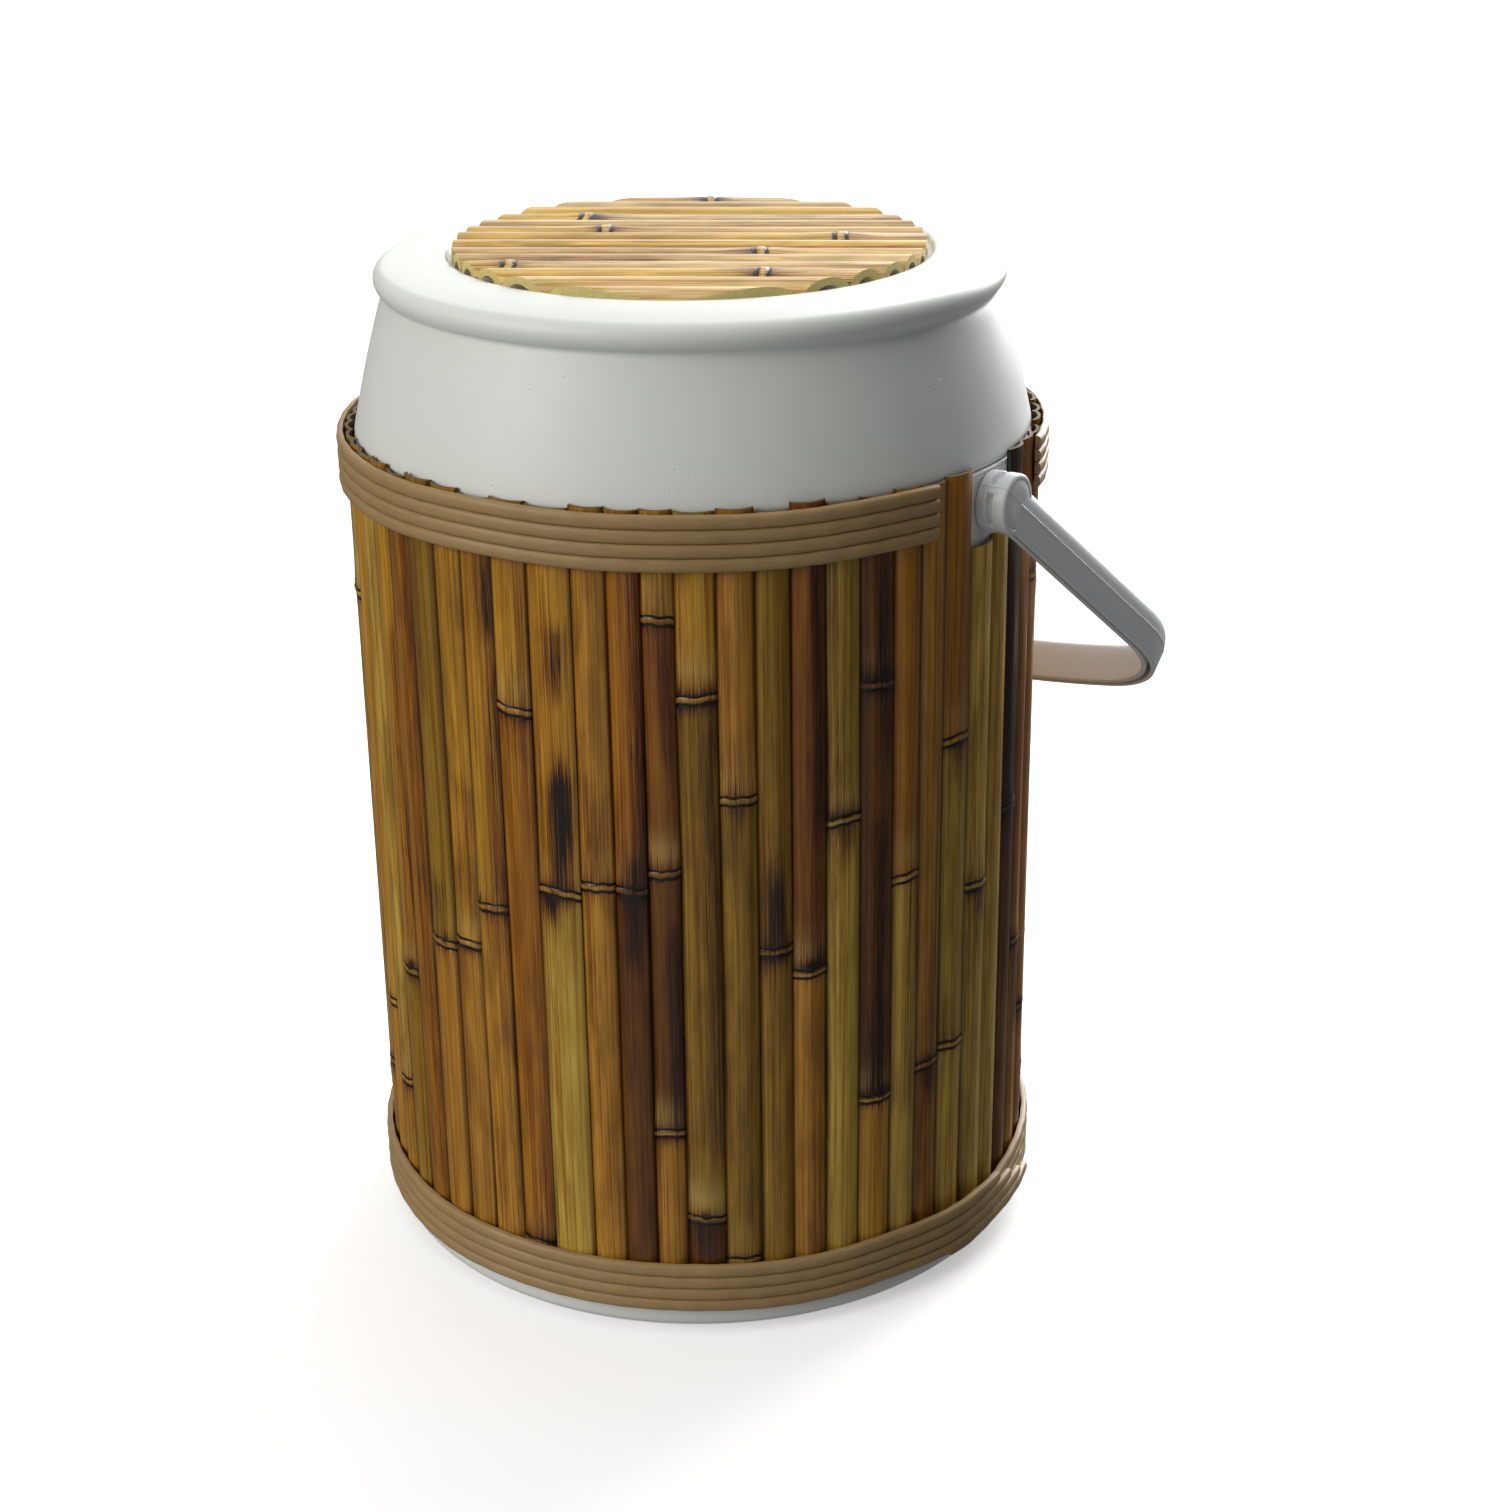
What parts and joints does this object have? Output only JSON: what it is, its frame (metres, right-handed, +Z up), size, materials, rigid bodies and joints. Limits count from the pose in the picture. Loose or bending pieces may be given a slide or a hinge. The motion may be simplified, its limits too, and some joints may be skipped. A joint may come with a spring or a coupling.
{
  "type": "insulated drum cooler",
  "caption": "Drum-shaped insulated drinks cooler clad in split bamboo canes, with ribbed bands, a cone-shaped lift-off lid topped with canes and a bowed carrying bail.",
  "frame": {"origin": "centre of the drum's base, on the surface that it stands on", "axes": "+Z up; X is the bail's pivot axis; -Y is the front; the bail rests behind the drum, at +Y"},
  "size_m": [0.3892, 0.3559, 0.4885],
  "materials": {
    "drum_plastic": "satin moulded white",
    "lid_plastic": "satin moulded white, finely pitted",
    "liner_plastic": "smooth moulded white",
    "pivot_plastic": "satin moulded white",
    "handle_plastic": "satin moulded pale grey",
    "foam": "expanded foam",
    "wall_cane": "lacquered split bamboo",
    "lid_cane": "lacquered split bamboo",
    "band": "satin ribbed tan strip"
  },
  "bodies": {
    "drum": {"outer_shell": "drum_plastic", "inner_liner": "liner_plastic", "wall_insulation": "foam", "base_insulation": "foam", "pivot_stud_right": "pivot_plastic", "pivot_stud_left": "pivot_plastic", "upper_band_front": "band", "upper_band_back": "band", "lower_band": "band", "wall_canes_1": "wall_cane", "wall_canes_2": "wall_cane", "wall_canes_3": "wall_cane", "wall_canes_4": "wall_cane", "wall_canes_5": "wall_cane", "wall_canes_6": "wall_cane", "wall_canes_7": "wall_cane", "wall_canes_8": "wall_cane", "wall_canes_9": "wall_cane", "wall_canes_10": "wall_cane", "wall_canes_11": "wall_cane", "wall_canes_12": "wall_cane"},
    "lid": {"lid_shell": "lid_plastic", "lid_liner": "liner_plastic", "lid_insulation": "foam", "lid_cane_1": "lid_cane", "lid_cane_2": "lid_cane", "lid_cane_3": "lid_cane", "lid_cane_4": "lid_cane", "lid_cane_5": "lid_cane", "lid_cane_6": "lid_cane", "lid_cane_7": "lid_cane", "lid_cane_8": "lid_cane", "lid_cane_9": "lid_cane", "lid_cane_10": "lid_cane", "lid_cane_11": "lid_cane", "lid_cane_12": "lid_cane", "lid_cane_13": "lid_cane", "lid_cane_14": "lid_cane"},
    "handle": {"handle_bail": "handle_plastic"}
  },
  "joints": [
    {"name": "lid_lift", "type": "slide", "parent": "drum", "child": "lid", "axis": [0, 0, 1], "range_m": [0, 0.15]},
    {"name": "handle_swing", "type": "hinge", "parent": "drum", "child": "handle", "pos_m": [0, 0, 0.387], "axis": [1, 0, 0], "range_deg": [0, 260]}
  ]
}
